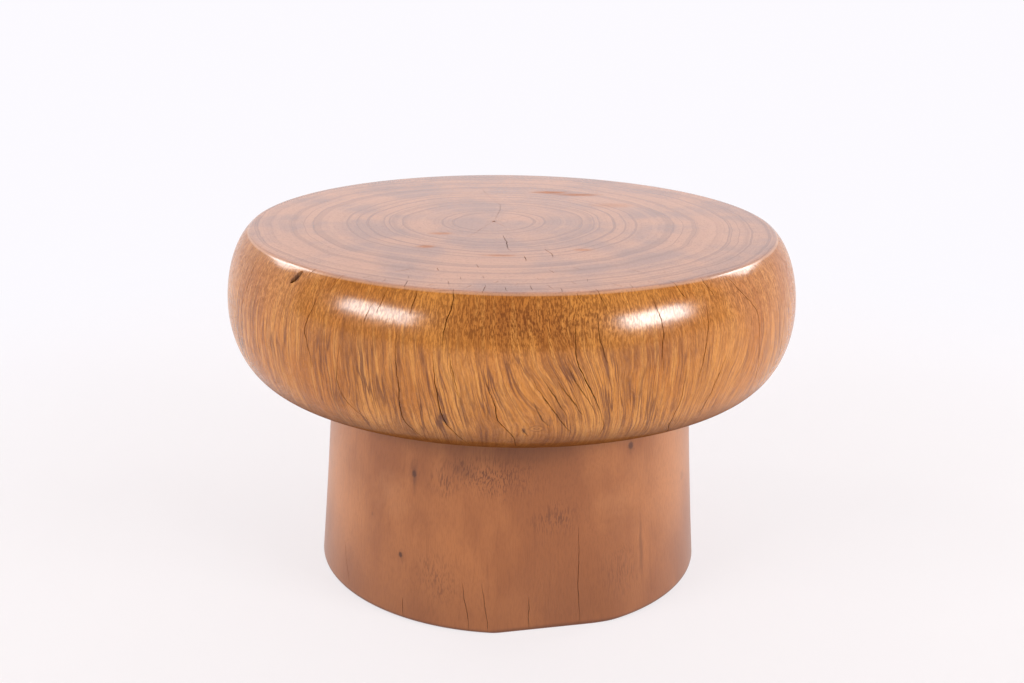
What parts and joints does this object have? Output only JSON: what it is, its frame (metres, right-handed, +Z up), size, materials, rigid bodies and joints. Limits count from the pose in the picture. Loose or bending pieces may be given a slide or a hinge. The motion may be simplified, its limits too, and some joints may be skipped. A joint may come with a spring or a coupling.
{
  "type": "accent table",
  "caption": "Low round mushroom-shaped accent table: a thick turned bullnose cap of end-grain wood on a flared stump pedestal, dowelled and screwed together, on nailed glides.",
  "frame": {"origin": "on the floor under the turning axis of cap and pedestal", "axes": "+Z up along the turning axis, -Y towards the viewer of the picture, +X to that viewer's right"},
  "size_m": [0.7, 0.7, 0.435],
  "materials": {
    "cap_wood": "clear semi-gloss lacquer over turned end grain with fine drying checks",
    "stump_wood": "clear satin lacquer over turned long grain",
    "dowel_wood": "bare hardwood",
    "zinc_steel": "bright zinc plate",
    "glide_nylon": "moulded dark brown nylon"
  },
  "bodies": {
    "root": {"tabletop": "cap_wood", "pedestal": "stump_wood", "dowel_1": "dowel_wood", "dowel_2": "dowel_wood", "dowel_3": "dowel_wood", "lag_screws": "zinc_steel", "washers": "zinc_steel", "glide_1": "glide_nylon", "glide_2": "glide_nylon", "glide_3": "glide_nylon", "glide_4": "glide_nylon", "glide_5": "glide_nylon", "glide_6": "glide_nylon", "glide_nails": "zinc_steel"}
  },
  "joints": []
}
